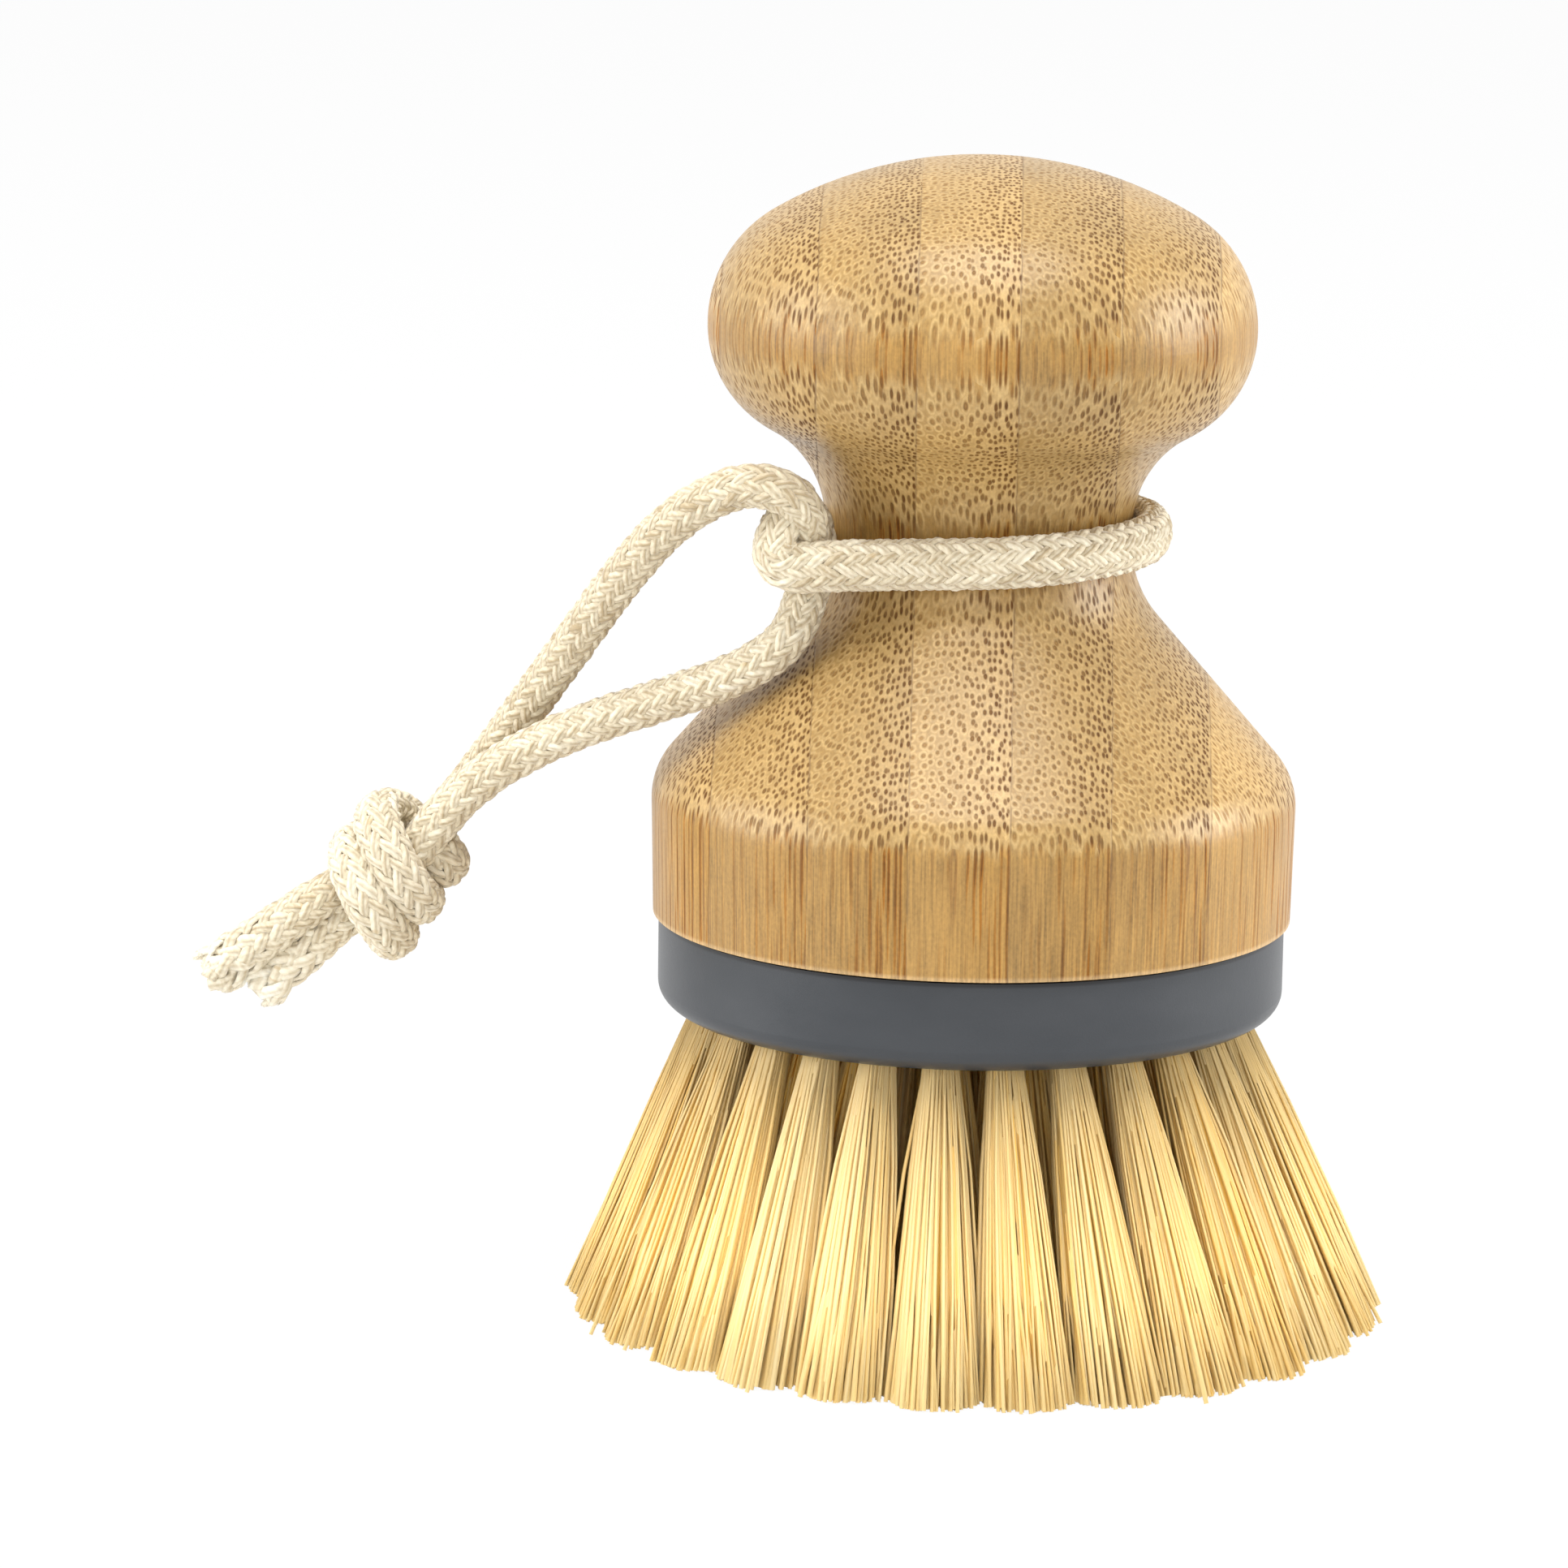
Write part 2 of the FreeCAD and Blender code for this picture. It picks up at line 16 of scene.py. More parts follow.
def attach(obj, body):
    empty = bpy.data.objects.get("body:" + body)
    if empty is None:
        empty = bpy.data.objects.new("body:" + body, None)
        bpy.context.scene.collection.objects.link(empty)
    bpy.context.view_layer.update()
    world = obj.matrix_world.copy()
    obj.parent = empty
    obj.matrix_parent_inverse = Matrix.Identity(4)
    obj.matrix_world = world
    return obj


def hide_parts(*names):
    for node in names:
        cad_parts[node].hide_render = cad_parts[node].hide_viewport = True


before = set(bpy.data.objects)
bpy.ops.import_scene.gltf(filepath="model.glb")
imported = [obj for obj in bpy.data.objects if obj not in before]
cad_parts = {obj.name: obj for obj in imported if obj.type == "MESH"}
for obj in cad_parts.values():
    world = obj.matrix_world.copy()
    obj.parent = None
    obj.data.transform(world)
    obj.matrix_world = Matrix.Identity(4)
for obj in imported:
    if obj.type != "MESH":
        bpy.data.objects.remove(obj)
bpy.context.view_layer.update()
MM = 0.001

# %% [markdown]
# ## The camera
# The photograph was taken from a little above the knob with a long lens. The camera's place was fitted to
# the edges of the handle and the plate. It is turned towards the middle of the picture, so that no lens
# shift is needed and other views stay centred, and it leans by under a degree, as the brush does in the
# photograph.

# %% Camera
CAMERA_PLACE, CAMERA_AIM = (0.0, -0.54316, 0.15554), (-0.01629, 0.0, 0.04532)
CAMERA_LEAN, FOCAL_LENGTH, FILM_WIDTH, NEAREST = 0.7924, 147.95, 36.0, 0.01


def add_object(name, data):
    """New object in the scene."""
    made = bpy.data.objects.new(name, data)
    bpy.context.scene.collection.objects.link(made)
    return made


def turned_to(place, aim):
    """Matrix that stands a camera or a lamp at its place and turns it to its aim."""
    towards = (Vector(aim) - Vector(place)).to_track_quat("-Z", "Y").to_matrix().to_4x4()
    return Matrix.Translation(place) @ towards


lens = bpy.data.cameras.new("portrait_camera")
lens.lens, lens.sensor_width, lens.clip_start = FOCAL_LENGTH, FILM_WIDTH, NEAREST
camera = add_object("portrait_camera", lens)
camera.matrix_world = turned_to(CAMERA_PLACE, CAMERA_AIM) @ Matrix.Rotation(radians(CAMERA_LEAN), 4, "Z")
bpy.context.scene.camera = camera
print("camera at", CAMERA_PLACE, "focal length", FOCAL_LENGTH)

# %% [markdown]
# ## The lines that the cord follows
# The cord is one length of braided cotton, tied round the neck in a half knot and knotted again near its
# ends. Three lines stand for it: the upper and the lower strand, which run from the hitch through the
# knot to their loose tails, and the turn round the neck. Each is a NURBS spline, because a cord has no
# corners, and everything that is wound along it is laid on points read from that spline.

# %% Routes of the cord
HITCH = np.array((-0.01407, -0.01139, 0.06715))
upper_route = HITCH + [
    (-0.0002, -0.0009, 0.0007), (0.0002, -0.0031, 0.0047), (-0.0045, -0.0036, 0.0070),
    (-0.0104, -0.0014, 0.0040), (-0.0150, 0.0019, -0.0012), (-0.0212, 0.0078, -0.0106),
    (-0.0275, 0.0128, -0.0201), (-0.0334, 0.0136, -0.0279), (-0.0366, 0.0120, -0.0303),
    (-0.0407, 0.0109, -0.0315), (-0.0460, 0.0109, -0.0353), (-0.0519, 0.0109, -0.0397)]
lower_route = HITCH + [
    (0.0004, -0.0002, -0.0008), (-0.0003, -0.0002, -0.0042), (-0.0020, -0.0004, -0.0077),
    (-0.0066, 0.0014, -0.0108), (-0.0133, 0.0042, -0.0136), (-0.0205, 0.0060, -0.0164),
    (-0.0270, 0.0078, -0.0202), (-0.0308, 0.0087, -0.0238), (-0.0336, 0.0094, -0.0276),
    (-0.0361, 0.0112, -0.0313), (-0.0399, 0.0121, -0.0341), (-0.0439, 0.0121, -0.0375),
    (-0.0479, 0.0121, -0.0412)]
bight_route = [
    (-0.0137, -0.0108, 0.0667), (-0.0136, -0.0101, 0.0690), (-0.0145, -0.0105, 0.0709),
    (-0.0158, -0.0126, 0.0712), (-0.0166, -0.0141, 0.0697), (-0.0171, -0.0146, 0.0678),
    (-0.0160, -0.0149, 0.0667), (-0.0135, -0.0150, 0.0668), (-0.0105, -0.0151, 0.0670)]
TURN_RADIUS, TURN_HEIGHT, TURN_SLOPE = 0.01500, 0.06730, tan(radians(2.5))
TURN_BEARINGS = range(255, 555, 15)
for bearing in TURN_BEARINGS:
    side = TURN_RADIUS * cos(radians(bearing))
    bight_route.append((side, TURN_RADIUS * sin(radians(bearing)), TURN_HEIGHT + side * TURN_SLOPE))
bight_route += [
    (-0.0150, -0.0042, 0.0667), (-0.0147, -0.0078, 0.0669),
    (-0.0143, -0.0106, 0.0674), (-0.0143, -0.0124, 0.0680)]
print("routes of", len(upper_route), len(lower_route), len(bight_route), "points")

# %% Splines
STEP, SPLINE_RESOLUTION = 0.00033, 32


def spline_points(name, route, step):
    """Points at an even step along the NURBS spline whose control points are the route."""
    curve = bpy.data.curves.new(name, "CURVE")
    curve.dimensions, curve.resolution_u = "3D", SPLINE_RESOLUTION
    spline = curve.splines.new("NURBS")
    spline.points.add(len(route) - 1)
    for point, place in zip(spline.points, route):
        point.co = (*place, 1.0)
    spline.order_u = 3
    spline.use_endpoint_u = True
    guide = bpy.data.objects.new(name, curve)
    traced = bpy.data.meshes.new_from_object(guide)
    points = np.array([vertex.co for vertex in traced.vertices])
    bpy.data.objects.remove(guide)
    bpy.data.curves.remove(curve)
    bpy.data.meshes.remove(traced)
    run = run_along(points)
    even = np.linspace(0, run[-1], int(run[-1] / step) + 1)
    return np.stack([np.interp(even, run, points[:, axis]) for axis in range(3)], axis=1)


def run_along(line):
    """Distance of each point of a line from its start, along the line."""
    return np.concatenate([[0], np.cumsum(np.linalg.norm(np.diff(line, axis=0), axis=1))])


def length_of(line):
    return float(np.linalg.norm(np.diff(line, axis=0), axis=1).sum())


upper_line = spline_points("upper_line", upper_route, STEP)
lower_line = spline_points("lower_line", lower_route, STEP)
bight_line = spline_points("bight_line", bight_route, STEP)
for title, line in (("upper", upper_line), ("lower", lower_line), ("neck turn", bight_line)):
    print(title, "cord line", round(length_of(line) / MM, 1), "mm")

# %% [markdown]
# ## Writing finishes as sums
# A finish is a small calculation on every point of a surface. It could be wired up by hand, but a sum is
# easier to read: the Sock class lets Python's own signs add the Math nodes, and one method, node, adds
# any other kind. What varies goes only to the sockets that an export can bake.

# %% Values that add up


class Sock:
    """One output of a shader node, on which Python's signs add Math nodes."""

    def __init__(self, finish, socket):
        self.finish, self.socket = finish, socket

    def __add__(self, other):
        return self.finish.math("ADD", self, other)

    def __radd__(self, other):
        return self.finish.math("ADD", other, self)

    def __sub__(self, other):
        return self.finish.math("SUBTRACT", self, other)

    def __rsub__(self, other):
        return self.finish.math("SUBTRACT", other, self)

    def __mul__(self, other):
        return self.finish.math("MULTIPLY", self, other)

    def __rmul__(self, other):
        return self.finish.math("MULTIPLY", other, self)

    def __truediv__(self, other):
        return self.finish.math("DIVIDE", self, other)

    def __rtruediv__(self, other):
        return self.finish.math("DIVIDE", other, self)


print("values add up")

# %% Finishes


class Finish:
    """A material whose nodes are added by name, with a Principled shader at its end."""

    def __init__(self, name, **constants):
        self.material = bpy.data.materials.new(name)
        self.material.use_nodes = True
        self.tree = self.material.node_tree
        self.shader = next(n for n in self.tree.nodes if n.type == "BSDF_PRINCIPLED")
        for socket, value in constants.items():
            self.shader.inputs[socket.replace("_", " ")].default_value = value

    def node(self, kind, settings, sockets, out=0):
        """Adds a node, sets its settings first and then its sockets, and gives one output, or several."""
        made = self.tree.nodes.new(kind)
        for name, value in settings.items():
            if name == "stops":
                ramp = made.color_ramp.elements
                while len(ramp) < len(value):
                    ramp.new(1.0)
                for stop, (place, colour) in zip(ramp, value):
                    stop.position, stop.color = place, (*colour, 1.0)
            else:
                setattr(made, name, value)
        for name, value in sockets.items():
            if isinstance(value, Sock):
                self.tree.links.new(value.socket, made.inputs[name])
            else:
                made.inputs[name].default_value = value
        if isinstance(out, (list, tuple)):
            return [Sock(self, made.outputs[name]) for name in out]
        return Sock(self, made.outputs[out])

    def feed(self, **sockets):
        """Links values to the shader's own sockets."""
        for name, value in sockets.items():
            self.tree.links.new(value.socket, self.shader.inputs[name.replace("_", " ")])

    def math(self, operation, first, second=0.0):
        return self.node("ShaderNodeMath", {"operation": operation}, {0: first, 1: second})

    def mix(self, share, first, second):
        """Colour that goes from the first to the second as the share goes from 0 to 1."""
        first = first if isinstance(first, Sock) else (*first, 1.0)
        second = second if isinstance(second, Sock) else (*second, 1.0)
        return self.node("ShaderNodeMix", {"data_type": "RGBA"}, {0: share, 6: first, 7: second}, 2)

    def shade(self, colour, amount):
        """Colour made lighter or darker by a value round 1."""
        grey = self.node("ShaderNodeCombineXYZ", {}, {0: amount, 1: amount, 2: amount})
        settings = {"data_type": "RGBA", "blend_type": "MULTIPLY"}
        return self.node("ShaderNodeMix", settings, {0: 1.0, 6: colour, 7: grey}, 2)

    def ramp(self, value, low, high):
        """Smooth step from 0 at low to 1 at high."""
        settings = {"interpolation_type": "SMOOTHSTEP"}
        sockets = {"Value": value, "From Min": low, "From Max": high}
        return self.node("ShaderNodeMapRange", settings, sockets)

    def scale(self, value, stops):
        """Colour read off a scale of stops, each a place from 0 to 1 and a colour."""
        return self.node("ShaderNodeValToRGB", {"stops": stops}, {0: value}, "Color")

    def place_mm(self):
        """Object coordinates in millimetres, as three values."""
        place = self.node("ShaderNodeTexCoord", {}, {}, "Object")
        scaled = self.node("ShaderNodeVectorMath", {"operation": "SCALE"}, {0: place, "Scale": 1 / MM})
        return self.node("ShaderNodeSeparateXYZ", {}, {0: scaled}, (0, 1, 2))

    def upward(self):
        """How far a surface faces up: 1 on a level top, 0 on a wall, -1 on an underside."""
        normal = self.node("ShaderNodeTexCoord", {}, {}, "Normal")
        return self.node("ShaderNodeSeparateXYZ", {}, {0: normal}, 2)

    def noise(self, x, y, z, detail=2.0):
        """Noise from 0 to 1 whose grain is 1 in the units of the three values."""
        at = self.node("ShaderNodeCombineXYZ", {}, {0: x, 1: y, 2: z})
        return self.node("ShaderNodeTexNoise", {}, {"Vector": at, "Scale": 1.0, "Detail": detail})

    def attribute(self, name):
        return self.node("ShaderNodeAttribute", {"attribute_name": name}, {}, "Fac")

    def bump(self, height, strength, distance):
        sockets = {"Height": height, "Strength": strength, "Distance": distance}
        self.feed(Normal=self.node("ShaderNodeBump", {}, sockets))


print("finishes ready")

# %% [markdown]
# ## Bamboo
# Bamboo is a bundle of vertical fibres in pale pith. Cut across, on the slopes of the lathe work, each
# bundle is a brown pore with a pale rim, which is partly the pale pith and partly a painted highlight for
# the glints on the oiled rims; the pale flecks between them are painted glints too. Cut along, on the
# upright walls, the same bundles are golden streaks. Two patterns could be painted side by side, but they
# would not meet. So one pattern is worked out in plan, as round cells in X and Y, and is the same all the
# way up, and the lathe's own shape decides what shows. Towards the skin side of each glued strip the
# bundles crowd together and darken.

# %% Bundles in plan
STRIP, SEAM, COUNT_FROM = 8.35, 5.25, 20.0
BUNDLE_STEP, BUNDLE_SCATTER, STRIP_SHIFT = 0.57, 0.66, 41.3


def bamboo_bundles(finish, x, y, z):
    """A point's strip, its place from pith to skin, its distance to a bundle and the bundle's lots."""
    count = (x + SEAM) / STRIP + COUNT_FROM
    strip = finish.math("FLOOR", count)
    across = count - strip

    # Bundles wander a little on their way up
    sway = finish.noise(x * 0.11, y * 0.11, z * 0.07) - 0.5
    crowded = across * 0.62 + across * across * 0.38
    plan_x = (strip + crowded) * STRIP + sway * 0.9
    plan_y = y + strip * STRIP_SHIFT + sway * 0.7
    plan = finish.node("ShaderNodeCombineXYZ", {}, {0: plan_x, 1: plan_y})
    settings = {"voronoi_dimensions": "2D", "feature": "F1"}
    sockets = {"Vector": plan, "Scale": 1 / BUNDLE_STEP, "Randomness": BUNDLE_SCATTER}
    far, lot = finish.node("ShaderNodeTexVoronoi", settings, sockets, ("Distance", "Color"))
    return strip, across, far, finish.node("ShaderNodeSeparateColor", {}, {0: lot}, (0, 1, 2))


print("a bundle every", BUNDLE_STEP, "mm in strips of", STRIP, "mm")

# %% Bamboo cut across and along
PITH_SLOPE, SKIN_SLOPE = (0.364, 0.217, 0.065), (0.339, 0.196, 0.055)
# Painted glints: the colours of the pale flecks, and of the pale rim round the pores, which is partly
# painted highlight
GLINT_FLECK, LATTICE_AND_GLINT = (0.570, 0.380, 0.155), (0.596, 0.406, 0.166)
PITH_BUNDLE, SKIN_BUNDLE, BUNDLE_EYE = (0.210, 0.100, 0.024), (0.120, 0.047, 0.009), (0.380, 0.220, 0.072)
PITH_WALL, SKIN_WALL = (0.372, 0.212, 0.056), (0.378, 0.206, 0.045)
GOLDEN_STREAK, BROWN_VESSEL, HAIRLINE = (0.300, 0.112, 0.012), (0.105, 0.036, 0.005), (0.195, 0.080, 0.012)


def slope_colour(finish, place, skin, far, size, lot, pore, strength):
    """Bamboo cut across: brown pores in a pale lattice, each with a paler eye on the pith side."""
    x, y, z = place
    eye = finish.ramp(far, size * 0.70, size * 0.10) * (1.0 - skin)
    # The pale rim round each pore is partly the pith's own colour and partly painted highlight, for glints
    # on the oiled rims; the pale flecks are painted glints
    ring = finish.ramp(far, size + 0.42, size + 0.20)
    lattice = finish.ramp(far, size + 0.02, size + 0.18) * (skin + (1.0 - skin) * ring)
    fleck = finish.ramp(finish.noise(x * 1.9, y * 1.9, z * 1.1, 1.0), 0.56, 0.70)
    colour = finish.mix(skin, PITH_SLOPE, SKIN_SLOPE)
    colour = finish.mix(fleck * 0.26, colour, GLINT_FLECK)
    colour = finish.mix(lattice * (lot * 0.36 + 0.32), colour, LATTICE_AND_GLINT)
    colour = finish.mix(pore * strength, colour, finish.mix(skin, PITH_BUNDLE, SKIN_BUNDLE))
    return finish.mix(eye * strength * 0.60, colour, BUNDLE_EYE)


def wall_colour(finish, place, skin, streak, vessel):
    """Bamboo cut along: golden streaks with a brown vessel in the middle, and hairlines between them."""
    x, y, z = place
    hairline = finish.ramp(finish.noise(x * 2.3, y * 2.3, z * 0.05, 1.0), 0.60, 0.72)
    colour = finish.mix(skin, PITH_WALL, SKIN_WALL)
    colour = finish.mix(streak, colour, GOLDEN_STREAK)
    colour = finish.mix(vessel, colour, BROWN_VESSEL)
    return finish.mix(hairline * (skin * 0.45 + 0.35), colour, HAIRLINE)


print("two cuts of one pattern")

# %% Bamboo finish
STRIP_TONES, LEFT_OF_STRIPS = (0.66, 0.48, 0.43, 0.58, 0.37, 0.46, 0.76), 16.0
# Painted highlight on the foot: the heights in mm of the band it lightens, and its colour
FOOT_TOP, FOOT_BOTTOM = 35.05, 34.65
FOOT_HIGHLIGHT, GLUE = (0.600, 0.410, 0.205), (0.130, 0.068, 0.026)
PORE_DEPTH = 0.00013


def bamboo_finish():
    finish = Finish("bamboo_turned", Specular_IOR_Level=0.14, Coat_Roughness=0.38)
    place = x, y, z = finish.place_mm()
    strip, across, far, (lot_a, lot_b, lot_c) = bamboo_bundles(finish, x, y, z)

    # How large and dark a bundle is: more on the skin side, less on the pith side, and by its own lot
    skin = finish.ramp(across, 0.10, 0.95)
    strength = (skin * 0.30 + 0.70) * (lot_b * 0.40 + 0.60)
    along_skin = (skin * 0.78 + 0.22) * (lot_b * 0.6 + 0.4)
    size = (lot_a * 0.10 + 0.22) * (skin * 0.22 + 0.88)
    pore = finish.ramp(far, size + 0.05, size - 0.12)
    streak = finish.ramp(far, size + 0.07, size - 0.05) * along_skin
    vessel = finish.ramp(far, size * 0.66, size * 0.30) * along_skin

    # Upright surfaces show the bundles cut along, each from a height of its own
    steep = 1.0 - finish.ramp(finish.math("ABSOLUTE", finish.upward()) + (lot_c - 0.5) * 0.15, 0.08, 0.30)
    slope = slope_colour(finish, place, skin, far, size, lot_c, pore, strength)
    colour = finish.mix(steep, slope, wall_colour(finish, place, skin, streak, vessel))
    # Painted highlight: a pale band along the bottom edge of the wall stands for the light its edge catches
    colour = finish.mix(finish.ramp(z, FOOT_TOP, FOOT_BOTTOM) * 0.55, colour, FOOT_HIGHLIGHT)

    # Clouds, grain and specks, and the tone of the culm that each strip was split from
    mottle = finish.noise(x * 0.16, y * 0.16, z * 0.10, 3.0) - 0.5
    grain = finish.noise(x * 5.2, y * 5.2, z * 0.14, 3.0) - 0.5
    speck = finish.noise(x * 4.2, y * 4.2, z * 3.0, 2.0) - 0.5
    shares = len(STRIP_TONES) + 1
    stops = [((number + 1) / shares, (tone, tone, tone)) for number, tone in enumerate(STRIP_TONES)]
    tint = finish.scale((strip - LEFT_OF_STRIPS) / shares, stops) - 0.5
    light = 0.90 + mottle * 0.34 + tint * 0.55 + grain * (steep * 0.85 + 0.25) + speck * 0.52

    # Glue lines between the strips, closed in places
    from_seam = finish.math("MINIMUM", across, 1.0 - across) * STRIP
    seam = finish.ramp(from_seam, 0.12, 0.02)
    seam = seam * finish.ramp(finish.noise(strip * 3.1, 0.0, z * 0.3), 0.34, 0.60)
    colour = finish.mix(seam * 0.50, finish.shade(colour, light), GLUE)
    rough = 0.42 + mottle * 0.16 + pore * 0.20 + seam * 0.2 + steep * 0.04

    # The oiled skin shines, the open bundles don't
    open_bundle = pore * strength * (1.0 - steep) + streak * steep
    finish.feed(Base_Color=colour, Roughness=rough, Coat_Weight=0.68 - open_bundle * 0.6)
    depth = grain * 0.25 + speck * 0.20 - pore * strength * (1.0 - steep * 0.6) - seam * 0.6
    finish.bump(depth, 0.7, PORE_DEPTH)
    return finish.material


def dress(name, material):
    """Gives a CAD node that stays its finish."""
    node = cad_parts[name]
    node.data.materials.clear()
    node.data.materials.append(material)


bamboo = bamboo_finish()
strips = sorted(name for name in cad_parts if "_strip_" in name)
for name in strips:
    dress(name, bamboo)
print("bamboo on", len(strips), "strips")

# %% [markdown]
# ## The moulded plate
# The plate is blue-grey plastic with a satin skin from a fine-blasted mould. It could be made anew as a
# lathe shape, but its CAD shape is right, so it stays and gets a finish: a slightly uneven tone, a soft
# gloss and a grain too fine to count. The wire that anchors the tufts is hidden in the plate, and gets a
# plain drawn metal.

# %% Plastic and wire finishes
PLASTIC_DARK, PLASTIC_LIGHT = (0.022, 0.026, 0.031), (0.047, 0.051, 0.057)
# Painted shade in the gap under the bamboo: its colour, and the heights in mm of the band it darkens
JOINT_SHADE, JOINT_BOTTOM, JOINT_TOP = (0.006, 0.006, 0.007), 33.85, 34.15
PLASTIC_RELIEF = 0.00006
WIRE_DARK, WIRE_LIGHT = (0.46, 0.45, 0.43), (0.62, 0.61, 0.58)


def plastic_finish():
    finish = Finish("grey_satin_plastic", Specular_IOR_Level=0.5)
    x, y, z = finish.place_mm()
    cloud = finish.noise(x * 0.09, y * 0.09, z * 0.2, 3.0) - 0.5
    orange_peel = finish.noise(x * 1.6, y * 1.6, z * 1.6, 2.0) - 0.5
    blast = finish.noise(x * 7.0, y * 7.0, z * 7.0, 2.0) - 0.5
    colour = finish.mix(cloud + 0.5, PLASTIC_DARK, PLASTIC_LIGHT)

    # Painted shade: the plate's side is darkened just under the bamboo, where the gap between them lies in
    # shadow
    joint_shade = finish.ramp(z, JOINT_BOTTOM, JOINT_TOP) * (1.0 - finish.ramp(finish.upward(), 0.5, 0.9))
    colour = finish.mix(joint_shade * 0.85, colour, JOINT_SHADE)
    colour = finish.shade(colour, 1.0 + blast * 0.18)
    finish.feed(Base_Color=colour, Roughness=0.36 + cloud * 0.10 + blast * 0.10)
    finish.bump(orange_peel * 0.5 + blast * 0.5, 0.22, PLASTIC_RELIEF)
    return finish.material


def wire_finish():
    finish = Finish("flat_anchor_wire", Metallic=1.0)
    x, y, z = finish.place_mm()
    drawn = finish.noise(x * 4.0, y * 4.0, z * 0.5, 3.0) - 0.5
    finish.feed(Base_Color=finish.mix(drawn + 0.5, WIRE_DARK, WIRE_LIGHT), Roughness=0.34 + drawn * 0.2)
    return finish.material


plastic = plastic_finish()
for name in ("brush_plate", "plate_spigot"):
    dress(name, plastic)
dress("tuft_anchors", wire_finish())
print("plastic on the plate and its spigot, wire on the anchors")

# %% [markdown]
# ## Meshes from rows of rings
# A bristle and a strand of yarn are both thin tubes along a line. Thousands of curve objects would be
# slow, so one function makes many tubes into one mesh, with a tone for each tube, its distance along in
# millimetres and its turn round, which the finishes read.

# %% Tubes


def tubes_mesh(name, rings, tones, along):
    """Mesh of tubes. rings is tubes x steps x sides x 3, tones tubes x steps or 1, along tubes x steps."""
    tubes, steps, sides = shape = rings.shape[:3]
    ids = np.arange(tubes * steps * sides).reshape(shape)
    low, high = ids[:, :-1], ids[:, 1:]
    quads = np.stack([low, np.roll(low, -1, 2), np.roll(high, -1, 2), high], -1).reshape(-1, 4)
    ends = np.concatenate([ids[:, 0, ::-1], ids[:, -1]])
    mesh = bpy.data.meshes.new(name)
    mesh.from_pydata(rings.reshape(-1, 3).tolist(), [], quads.tolist() + ends.tolist())
    values = {
        "tone": np.broadcast_to(np.asarray(tones)[:, :, None], shape),
        "along": np.broadcast_to(np.asarray(along)[:, :, None] / MM, shape),
        "turn": np.broadcast_to(np.arange(sides)[None, None, :] / sides, shape),
    }
    for title, value in values.items():
        layer = mesh.attributes.new(title, "FLOAT", "POINT")
        layer.data.foreach_set("value", np.ascontiguousarray(value, np.float32).ravel())
    mesh.polygons.foreach_set("use_smooth", np.r_[np.ones(len(quads), bool), np.zeros(len(ends), bool)])
    return add_object(name, mesh)


def unit(vectors):
    return vectors / np.linalg.norm(vectors, axis=-1, keepdims=True)


print("tube maker ready")

# %% [markdown]
# ## Bristles
# Each tuft is a bundle of stiff cream fibres, folded over a flat wire at the bottom of its hole. The
# bundle is round and tight in the hole and fans out below, and the head is trimmed level. Particle hair
# would be quick, but it isn't kept in an export, so each fibre is a thin three-sided tube of its own,
# with its own bow, tip and tone. A few thick ones stop short in the heart of each tuft, so that no
# daylight shows through. Use has bent the tips to one side.

# %% Fibres of a tuft
PLATE_BOTTOM, ROOT_DEPTH, MOUTH = 0.0266, 0.0033, 0.0014
HEART, HEART_TRIM = 10, 0.0022
LEAN, SPREAD, UNEVEN, BOW = np.array((0.0009, 0.0, 0.0)), 0.32, 0.05, 0.00022
STRAY_SHARE, STRAY, TIDY = 0.03, 0.0013, 0.00012
TRIM, TRIM_MISSED = 0.00010, 0.0003
ANY_TURN = 6.3
SHARES = np.array((0.0, 0.33, 0.67, 1.0))
ASKEW = np.array((0.31, 0.52, 0.79))  # a way that no fibre runs


def tuft_fibres(rng, mouth, outward, tilt, count, fan_across, fan_out):
    """Centre lines (count x steps x 3) of one tuft's fibres; the first are its heart."""
    sideways = np.array((-outward[1], outward[0], 0.0))
    axis = sin(tilt) * outward - np.array((0, 0, cos(tilt)))
    across = cos(tilt) * outward + np.array((0, 0, sin(tilt)))

    # Placed as seeds are in a sunflower, with most of them near the outside
    spread = ((np.arange(count) + 0.5) / count) ** SPREAD
    turn = np.arange(count) * pi * (3 - sqrt(5)) + rng.uniform(0, ANY_TURN)
    u, v = spread * np.cos(turn), spread * np.sin(turn)
    here = mouth + MOUTH * (u[:, None] * across + v[:, None] * sideways)
    u, v = u + rng.normal(0, UNEVEN, count), v + rng.normal(0, UNEVEN, count)
    reach = PLATE_BOTTOM / cos(tilt)
    tip = mouth + reach * axis + LEAN + fan_out * u[:, None] * across + fan_across * v[:, None] * sideways
    stray = rng.random(count) < STRAY_SHARE
    tip += np.where(stray, STRAY, TIDY)[:, None] * rng.normal(0, 0.5, (count, 3))

    # Trimmed level just above the floor
    way = unit(tip - here)
    cut = TRIM + TRIM_MISSED * rng.random(count) ** 3
    cut[:HEART] = HEART_TRIM
    tip = here + way * ((cut - here[:, 2]) / way[:, 2])[:, None]
    bow = rng.normal(0, BOW, (count, 3))
    straight = here[:, None] + (tip - here)[:, None] * SHARES[:, None]
    lines = straight + bow[:, None] * np.sin(pi * SHARES)[:, None]
    root = here - ROOT_DEPTH * axis
    return np.concatenate([root[:, None], lines], axis=1)


def fibre_rings(lines, radius, sides=3):
    """Three-sided rings round each line, of a radius for each of its steps."""
    ahead = unit(np.gradient(lines, axis=1))
    side = unit(np.cross(ahead, ASKEW))
    other = np.cross(ahead, side)
    turn = 2 * pi * np.arange(sides) / sides
    round_it = np.cos(turn)[:, None] * side[:, :, None] + np.sin(turn)[:, None] * other[:, :, None]
    return lines[:, :, None] + radius[:, :, None, None] * round_it


print("fibres run from", PLATE_BOTTOM / MM, "mm down to", TRIM / MM, "mm")

